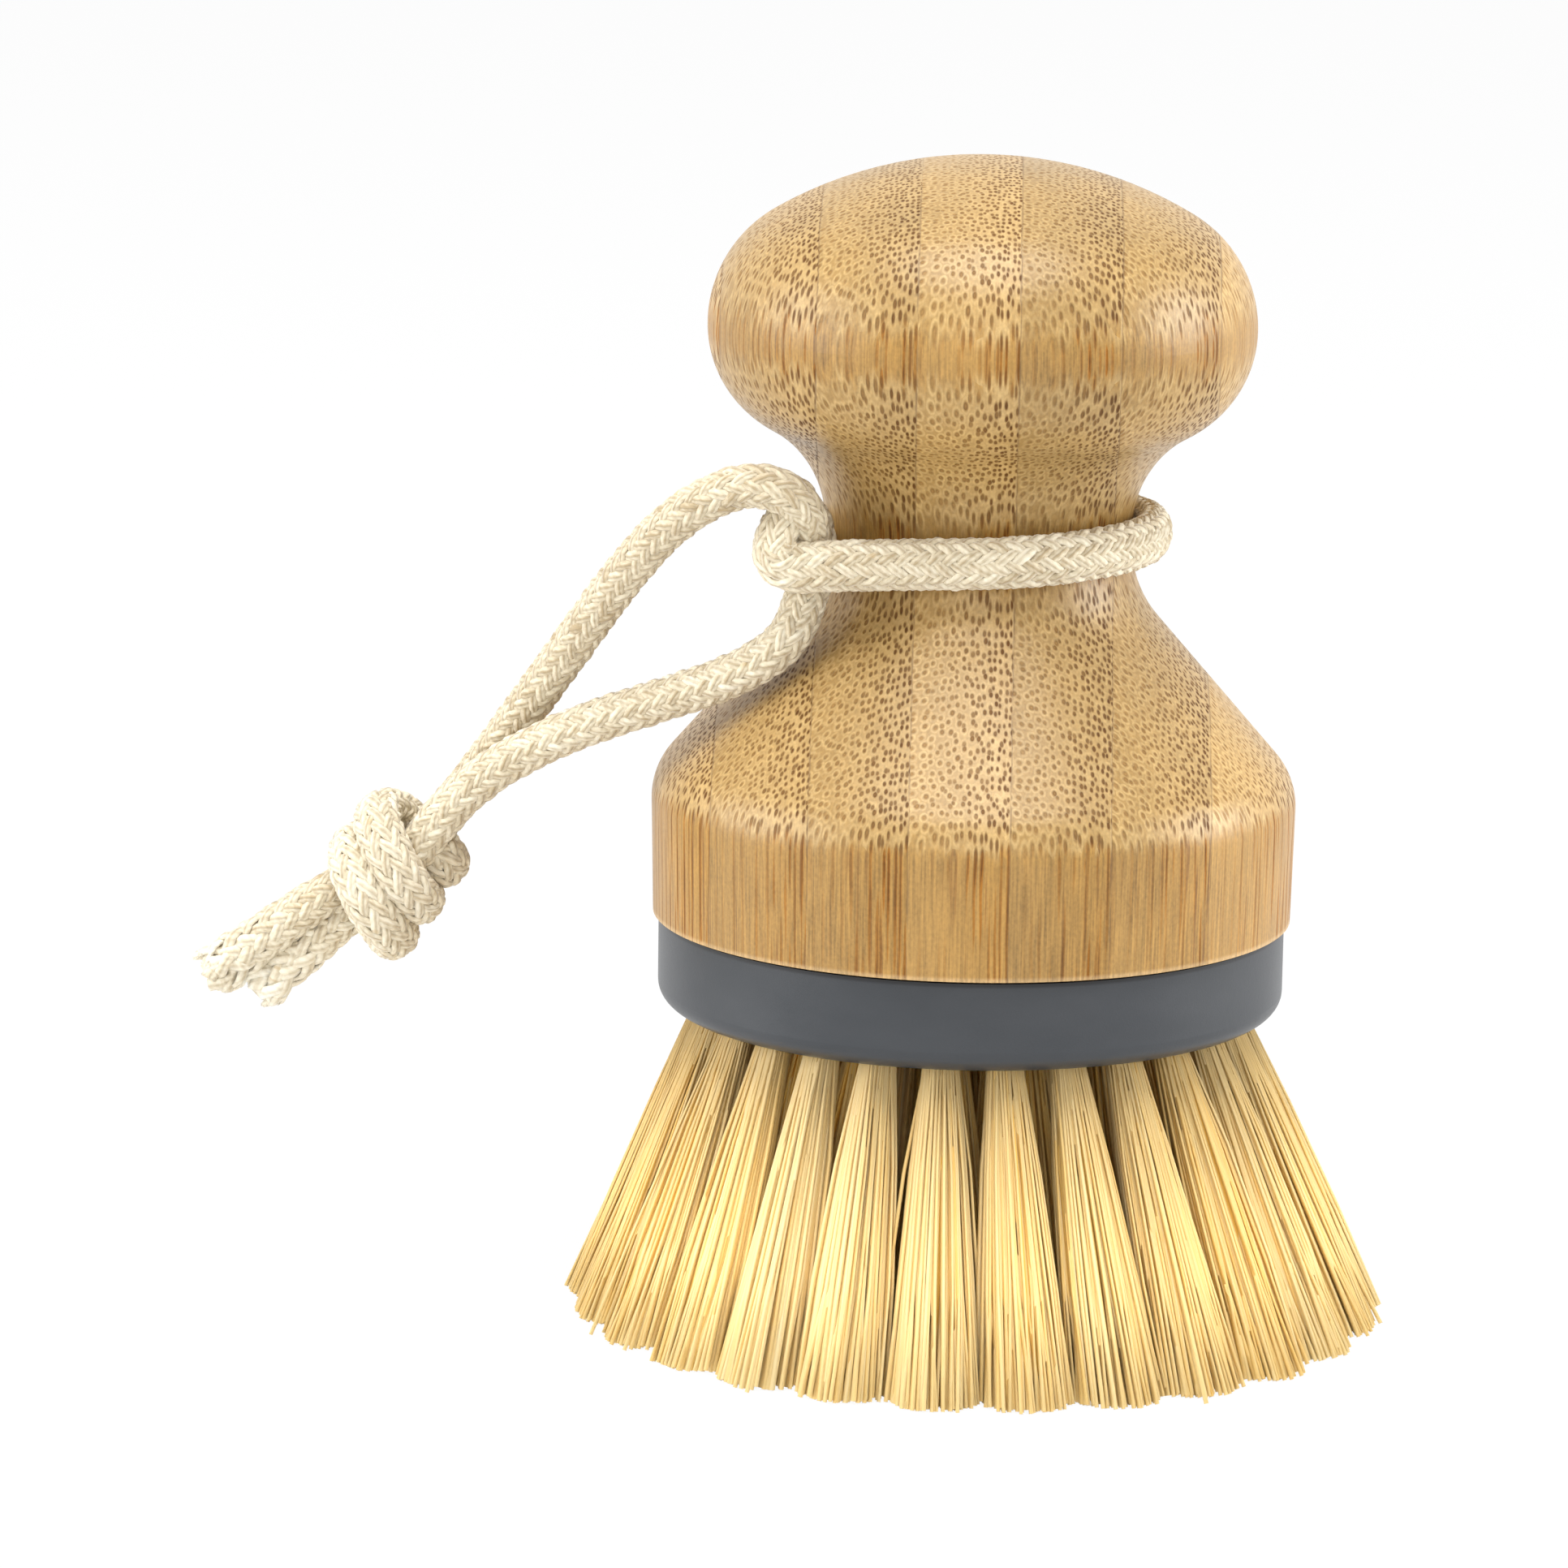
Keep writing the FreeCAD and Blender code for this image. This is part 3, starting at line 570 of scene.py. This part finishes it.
# %% Rings of tufts
RINGS = {  # radius, tilt, tufts, fibres in a tuft, fan across and fan outwards
    "outer": (0.0220, 20.5, 26, 290, 0.0038, 0.0031), "middle": (0.0157, 13.5, 14, 220, 0.0044, 0.0034),
    "inner": (0.0094, 7.0, 8, 180, 0.0042, 0.0038)}
HEAD_TURN = radians(-5.8)
FIBRE_RADII, FRAYED, HEART_RADII = (0.00015, 0.00020), (0.85, 1.25), (0.0006, 0.0017)
FIBRE_TONE, TUFT_SPREAD, TONE_SPREAD = 0.5, 0.03, 0.07
INSIDE_DEEPER, HIDDEN_DEEPER, HEART_TONE = 0.35, 0.30, 0.05


def fibre_tones(rng, ring, tufts, count):
    """Tones of a ring's fibres. Light through other fibres is golden, so inner ones are deeper in tone."""
    tuft_tone = np.repeat(rng.normal(0, TUFT_SPREAD, tufts), count)
    tones = FIBRE_TONE + tuft_tone + rng.normal(0, TONE_SPREAD, tufts * count)
    inside = 1 - (np.arange(tufts * count) % count + 0.5) / count
    # Painted shade: fibres further inside a tuft, and all fibres of the middle and inner rings, get a deeper
    # tone
    return tones - INSIDE_DEEPER * inside ** 2 - (0.0 if ring == "outer" else HIDDEN_DEEPER)


bristle_pieces = {}
rng = np.random.default_rng(26)
for ring, (radius, tilt, tufts, count, *fan) in RINGS.items():
    bearings = 2 * pi * (np.arange(tufts) + 0.5) / tufts + HEAD_TURN
    seats = [(np.array((cos(b), sin(b), 0.0)), radians(tilt)) for b in bearings]
    places = [radius * outward + (0, 0, PLATE_BOTTOM) for outward, _ in seats]
    if ring == "inner":
        seats.append((np.array((1.0, 0.0, 0.0)), 0.0))
        places.append(np.array((0, 0, PLATE_BOTTOM)))
    bundles = [tuft_fibres(rng, place, *seat, count, *fan) for place, seat in zip(places, seats)]
    lines = np.concatenate(bundles)
    tones = fibre_tones(rng, ring, len(seats), count)

    # A fibre is frayed, and so a little thicker, towards its tip
    steps = lines.shape[1]
    thick = rng.uniform(*FIBRE_RADII, len(lines))[:, None] * np.linspace(*FRAYED, steps)
    heart = np.arange(len(lines)) % count < HEART
    thick[heart] = np.linspace(*HEART_RADII, steps)
    # Painted shade: the hearts take the deepest gold
    tones[heart] = HEART_TONE
    below_mouth = np.linalg.norm(lines[:, 1:] - lines[:, 1:2], axis=2)
    along = np.concatenate([np.zeros((len(lines), 1)), below_mouth], 1)
    bristle_pieces[ring] = tubes_mesh(f"{ring}_bristles", fibre_rings(lines, thick), tones[:, None], along)
    print(ring, "ring:", len(seats), "tufts,", len(lines), "fibres")

# %% [markdown]
# ## Bristle finish
# The fibres are cream where the light reaches them and deep gold between the tufts, where it only arrives
# by way of other fibres. Light that shines through would be costly to trace in so many tubes, so the
# colour is deepened towards the plate and in the inner fibres. The tone of each fibre and fine lengthwise
# bands keep them apart.

# %% Dress the bristles
FIBRE_STOPS = [
    (0.05, (0.880, 0.520, 0.105)), (0.35, (0.930, 0.660, 0.255)), (0.62, (0.947, 0.740, 0.368)),
    (0.95, (0.957, 0.830, 0.515))]
DEEP_REACH, DEEP_GOLD, DEEP_CREAM = 19.0, (0.450, 0.250, 0.045), (0.400, 0.275, 0.122)


def bristle_finish():
    finish = Finish("cream_fibre", Specular_IOR_Level=0.18)
    tone, along = finish.attribute("tone"), finish.attribute("along")
    band = finish.noise(tone * 40.0, along * 0.35, 0.0, 2.0) - 0.5
    colour = finish.scale(tone + band * 0.25, FIBRE_STOPS)
    # Painted shade: towards the plate every fibre darkens, the outer ones most, to dull cream outside and
    # gold inside
    deep = finish.ramp(along, DEEP_REACH, 0.0)
    outside = finish.ramp(tone, 0.12, 0.45)
    shadow = finish.mix(outside, DEEP_GOLD, DEEP_CREAM)
    colour = finish.mix(deep * (outside * 0.40 + 0.18), colour, shadow)
    finish.feed(Base_Color=colour, Roughness=0.40 + band * 0.25)
    return finish.material


bristle = bristle_finish()
nodes_of = {ring: [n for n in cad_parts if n.startswith(ring + "_tuft")] for ring in RINGS}
for ring, piece in bristle_pieces.items():
    piece.data.materials.append(bristle)
    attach(piece, "brush_head")
    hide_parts(*sorted(nodes_of[ring]))
    print(piece.name, "replaces", len(nodes_of[ring]), "CAD nodes")

# %% [markdown]
# ## Braiding the cord
# A braid is two families of yarn that wind round the same core, one to the left and one to the right,
# each passing over two and under two of the other. A texture could paint that, but the edge of the cord
# would stay smooth, so the yarns are really wound: every yarn is a flat tube whose distance from the
# middle rises and falls as it crosses.

# %% Braid
YARNS, PITCH, BRAID_RADIUS, WEAVE = 12, 0.0168, 0.0016, 0.00015
YARN_WIDTH, YARN_THICKNESS, YARN_SIDES = 0.0009, 0.00054, 6
CORE_SHARE, YARN_TONE_SPREAD, UNDONE_PALER = 0.8, 0.16, 0.55
YARN_STAND, YARN_WOBBLE, WOBBLE_BEATS = 0.00002, 0.00003, (800, 1600)
SIDE_WOBBLE, SIDE_BEAT, WIDTH_WOBBLE, WIDTH_BEAT = 0.03, 1100, 0.06, 2100
UNDONE_SLACK, UNDONE_WAVE, UNDONE_SWELL, UNDONE_STRAY, UNDONE_WIDER = 0.4, 0.7, (0.06, 0.26), 0.16, 0.45
YARN_WIDTHS, LINT_SHIFT = (0.93, 1.07), 0.05
CORD_ASKEW = (0.2, 0.9, 0.4)  # a way that no cord starts in


def carried_frames(line, outward=None):
    """Two directions square to a line at each of its points, carried without twist or led by outward."""
    ahead = unit(np.gradient(line, axis=0))
    first = np.empty_like(line)
    guess = np.cross(ahead[0], CORD_ASKEW)
    for number, way in enumerate(ahead):
        if outward is not None:
            guess = outward[number]
        guess = guess - way * (guess @ way)
        guess = guess / np.linalg.norm(guess)
        first[number] = guess
    return ahead, first, np.cross(ahead, first)


def braided(name, line, seed, tall=1.0, wide=1.0, outward=None, loose=0.0, ends=0.0, tone=0.5):
    """Braided cord along a line. tall and wide press its section; its last loose metres come undone."""
    chance = np.random.default_rng(seed)
    ahead, first, second = carried_frames(line, outward)
    run = run_along(line)
    undone = np.clip((run - run[-1] + loose) / loose, 0, 1) if loose else np.zeros(len(run))
    wound = np.concatenate([[0], np.cumsum(np.diff(run) * (1 - UNDONE_SLACK * undone[1:]))]) / PITCH
    crossing = 2 * YARNS * wound
    turn = 2 * pi * np.arange(YARN_SIDES) / YARN_SIDES
    rings, tones, alongs = [], [], []
    for way in (1, -1):
        for yarn in range(YARNS):
            # Over two and under two, never quite evenly, and further out where the end has come undone
            wave = np.sin(pi / 2 * (2 * yarn + way * crossing + 0.5))
            stand = chance.normal(0, YARN_STAND)
            beat, start = chance.uniform(*WOBBLE_BEATS), chance.uniform(0, ANY_TURN)
            wobble = stand + YARN_WOBBLE * np.sin(run * beat + start)
            far = BRAID_RADIUS + way * WEAVE * sqrt(2) * wave * (1 + UNDONE_WAVE * undone) + wobble
            far = far * (1 + undone * chance.uniform(*UNDONE_SWELL))
            theta = 2 * pi * yarn / YARNS + way * 2 * pi * wound
            theta = theta + undone * chance.normal(0, UNDONE_STRAY)
            theta = theta + SIDE_WOBBLE * np.sin(run * SIDE_BEAT + chance.uniform(0, ANY_TURN))
            radial = np.cos(theta)[:, None] * first * tall + np.sin(theta)[:, None] * second * wide
            place = line + far[:, None] * radial
            if ends:
                place = place + (undone ** 2 * chance.uniform(-ends, ends * 0.25))[:, None] * ahead

            # A flat section that lies on the cord
            forward = unit(np.gradient(place, axis=0))
            lift = unit(np.cos(theta)[:, None] * first / tall + np.sin(theta)[:, None] * second / wide)
            flat = unit(np.cross(forward, lift))
            lift = np.cross(flat, forward)
            width = YARN_WIDTH * (1 + WIDTH_WOBBLE * np.sin(run * WIDTH_BEAT + yarn))
            width = width * (1 + UNDONE_WIDER * undone) * chance.uniform(*YARN_WIDTHS)
            ring = place[:, None] + (np.cos(turn) / 2)[:, None] * (width[:, None] * flat)[:, None] \
                + (np.sin(turn) / 2)[:, None] * (YARN_THICKNESS * lift)[:, None]
            rings.append(ring)
            # Painted light: the undone ends, yarns and core alike, are made paler, to lighten the shade
            # among their loose yarns
            tones.append(tone + chance.normal(0, YARN_TONE_SPREAD) + UNDONE_PALER * undone)
            alongs.append(run + chance.uniform(0, LINT_SHIFT))
    core = np.cos(turn)[:, None] * (first * tall)[:, None] + np.sin(turn)[:, None] * (second * wide)[:, None]
    rings.append(line[:, None] + CORE_SHARE * BRAID_RADIUS * core)
    tones.append(tone + UNDONE_PALER * undone)
    alongs.append(run)
    print(name, "braided from", 2 * YARNS, "yarns over", round(run[-1] / MM, 1), "mm")
    return tubes_mesh(name, np.array(rings), tones, np.array(alongs))


# %% Strands and neck turn
STRAND = {"tall": 0.92, "wide": 0.92, "loose": 0.012, "ends": 0.0014}
# Painted shade: the whole upper strand gets a darker tone, for the shade of the knob that falls on it
upper_cord = braided("upper_cord", upper_line, 3, tone=0.30, **STRAND)
lower_cord = braided("lower_cord", lower_line, 5, **STRAND)
neck_cord = braided("neck_cord", bight_line, 7, tall=0.80, wide=1.10, outward=bight_line * (1, 1, 0))

# %% [markdown]
# ## The knot
# The two strands are tied in one overhand knot. From outside it is two wraps of cord side by side, pulled
# tight so that the cord is pressed a little flat, and they hide where the strands go in. A whole knot
# could be traced as one line, but its inside is never seen. So the wraps are laid on a short helix about
# the knot's axis, again as a spline, and its two ends are tucked in among the strands.

# %% Knot wraps
WRAP_RADIUS, WRAP_PITCH, WRAP_START, WRAP_DEGREES = 0.0043, 0.0037, 0.0011, range(-310, 541, 17)
START_TUCK, START_TUCKED_BEFORE, START_TUCK_SPAN = 0.0032, -225, 85
END_TUCK, END_TUCKED_AFTER, END_TUCK_SPAN = 0.0019, 470, 70
SIDE_SHIFT, SHIFTED_BEFORE, SHIFT_SPAN = 0.0011, 280, 160
knot_middle = HITCH + (-0.0355, 0.0114, -0.0305)
knot_axis = unit(np.array((-0.79, 0.0, -0.61)))
knot_front = np.array((0.0, -1.0, 0.0))
knot_side = np.cross(knot_front, knot_axis)
knot_route = []
for degrees in WRAP_DEGREES:
    start_tuck = START_TUCK * max(0, (START_TUCKED_BEFORE - degrees) / START_TUCK_SPAN)
    end_tuck = END_TUCK * max(0, (degrees - END_TUCKED_AFTER) / END_TUCK_SPAN)
    tight = WRAP_RADIUS - start_tuck - end_tuck
    around = radians(degrees)
    place = knot_middle + knot_axis * (WRAP_PITCH * degrees / 360 - WRAP_START)
    place = place - knot_side * SIDE_SHIFT * min(1, max(0, (SHIFTED_BEFORE - degrees) / SHIFT_SPAN))
    knot_route.append(place + tight * (cos(around) * knot_front + sin(around) * knot_side))
knot_line = spline_points("knot_line", knot_route, STEP)
from_axis = knot_line - knot_middle
from_axis = from_axis - (from_axis @ knot_axis)[:, None] * knot_axis
# Painted light: the knot's wraps get a paler tone, to lighten the shade they lie in
knot_wraps = braided("knot_wraps", knot_line, 11, tall=0.90, wide=1.09, outward=from_axis, tone=0.66)

# %% [markdown]
# ## Cotton
# Unbleached cotton is cream with straw-coloured flecks, and it has no gloss. Each yarn is itself twisted,
# which shows as fine slanting lines. They could be modelled too, but a line that thin is bump to the eye,
# so the finish draws them from the distance along the yarn and the turn round it.

# %% Cotton finish
COTTON_STOPS = [
    (0.1, (0.440, 0.342, 0.206)), (0.5, (0.700, 0.618, 0.456)), (0.85, (0.845, 0.785, 0.640)),
    (1.0, (0.885, 0.855, 0.740))]
STRAW = (0.560, 0.400, 0.190)
PLIES, PLY_SLANT, TOP_OF_YARN, YARN_RELIEF = 3, 0.55, 0.25, 0.00012


def cotton_finish():
    finish = Finish("natural_cotton", Specular_IOR_Level=0.15, Roughness=0.9,
                    Sheen_Weight=0.25, Sheen_Roughness=0.5)
    tone, along, turn = finish.attribute("tone"), finish.attribute("along"), finish.attribute("turn")
    ply = finish.math("SINE", (turn + along * PLY_SLANT) * (2 * pi * PLIES))
    lint = finish.noise(along * 2.6, tone * 30.0 + turn * 5.0, 0.0, 3.0) - 0.5
    fleck = finish.ramp(finish.noise(along * 0.9, tone * 50.0, turn * 1.5, 1.0), 0.70, 0.80)
    # Painted shade: the crease along the top of each yarn is drawn darker as well as dented, and the twist
    # lines faintly light and dark
    groove = finish.ramp(finish.math("ABSOLUTE", turn - TOP_OF_YARN), 0.07, 0.0)
    level = 0.5 + (tone - 0.5) * 0.55 + lint * 0.7 + ply * 0.05 - groove * 0.28
    finish.feed(Base_Color=finish.mix(fleck * 0.45, finish.scale(level, COTTON_STOPS), STRAW))
    finish.bump(ply * 0.35 + lint - groove * 1.3, 0.6, YARN_RELIEF)
    return finish.material


cotton = cotton_finish()
print("cotton of", PLIES, "plies")

# %% Dress the cord
carries = {
    "upper_cord": (upper_cord, ["cord_upper_strand", "cord_tails"]),
    "lower_cord": (lower_cord, ["cord_lower_strand", "cord_tails"]),
    "neck_cord": (neck_cord, ["cord_neck_turn", "cord_hitch"]),
    "knot_wraps": (knot_wraps, ["cord_knot"]),
}
for piece, replaced in carries.values():
    piece.data.materials.append(cotton)
    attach(piece, "hanging_cord")
    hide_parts(*replaced)
for piece, line, far_end, lay, ties in (
    (upper_cord, upper_line, "bare", "hanging", [knot_wraps]),
    (lower_cord, lower_line, "bare", "hanging", []),
    (neck_cord, bight_line, "object", "taut", []),
):
    print(piece.name, "declared as a cord of", round(length_of(line) / MM), "mm")

# %% [markdown]
# ## Floor and light
# The brush stands on white. A plain white floor would be grey in places, so the floor is a pale plane
# that is mostly white to the camera and still takes a faint shadow. The light is a white room and four
# large soft lamps, at a level at which a colour shows as written.

# %% Floor
FLOOR_REACH, FLOOR_GREY, GLOW_SHARE = 4, 0.86, 0.94
WHITE = (1.0, 1.0, 1.0, 1.0)
floor_mesh = bpy.data.meshes.new("studio_floor")
corners = [(-FLOOR_REACH, -FLOOR_REACH, 0), (FLOOR_REACH, -FLOOR_REACH, 0), (FLOOR_REACH, FLOOR_REACH, 0),
           (-FLOOR_REACH, FLOOR_REACH, 0)]
floor_mesh.from_pydata(corners, [], [(0, 1, 2, 3)])
studio_floor = add_object("studio_floor", floor_mesh)


def seen_directly(finish):
    """1 for rays from the camera, and for mirrored or transmitted ones, 0 for rays that carry light."""
    kinds = ("Is Camera Ray", "Is Glossy Ray", "Is Transmission Ray")
    direct, mirrored, let_through = finish.node("ShaderNodeLightPath", {}, {}, kinds)
    return finish.math("MAXIMUM", finish.math("MAXIMUM", direct, mirrored), let_through)


pale = (FLOOR_GREY, FLOOR_GREY, FLOOR_GREY, 1.0)
floor_finish = Finish("pale_floor", Base_Color=pale, Roughness=0.9, Specular_IOR_Level=0.0)
glow = floor_finish.node("ShaderNodeEmission", {}, {"Color": WHITE, "Strength": 1.0})
matt = Sock(floor_finish, floor_finish.shader.outputs["BSDF"])
share = seen_directly(floor_finish) * GLOW_SHARE
blended = floor_finish.node("ShaderNodeMixShader", {}, {0: share, 1: matt, 2: glow})
surface = next(n for n in floor_finish.tree.nodes if n.type == "OUTPUT_MATERIAL")
floor_finish.tree.links.new(blended.socket, surface.inputs["Surface"])
floor_mesh.materials.append(floor_finish.material)
print("floor of", 2 * FLOOR_REACH, "m")

# %% Room and lamps
ROOM_LIGHT = 0.48
LAMP_AIM = (0, 0, 0.05)
LAMPS = {  # place, size and power
    "lamp_above": ((0.0, -0.25, 1.05), 0.9, 12.4), "lamp_left": ((-0.95, -0.20, 0.28), 0.9, 8.2),
    "lamp_right": ((0.94, 0.04, 0.30), 0.6, 6.9), "lamp_front": ((0.0, -1.30, 0.50), 0.8, 2.8)}


class Room(Finish):
    """The world's nodes, reached by the same helpers."""

    def __init__(self, world):
        world.use_nodes = True
        self.tree = world.node_tree
        self.shader = next(n for n in self.tree.nodes if n.type == "BACKGROUND")


bpy.context.scene.world = bpy.data.worlds.new("white_room")
walls = Room(bpy.context.scene.world)
walls.shader.inputs["Color"].default_value = WHITE
walls.feed(Strength=seen_directly(walls) * (1 - ROOM_LIGHT) + ROOM_LIGHT)
for title, (place, size, power) in LAMPS.items():
    panel = bpy.data.lights.new(title, "AREA")
    panel.shape, panel.size, panel.energy = "DISK", size, power
    lamp = add_object(title, panel)
    lamp.matrix_world = turned_to(place, LAMP_AIM)
    lamp.visible_camera = False
bpy.context.scene.view_settings.view_transform = "Standard"
print("room and", len(LAMPS), "lamps in place")
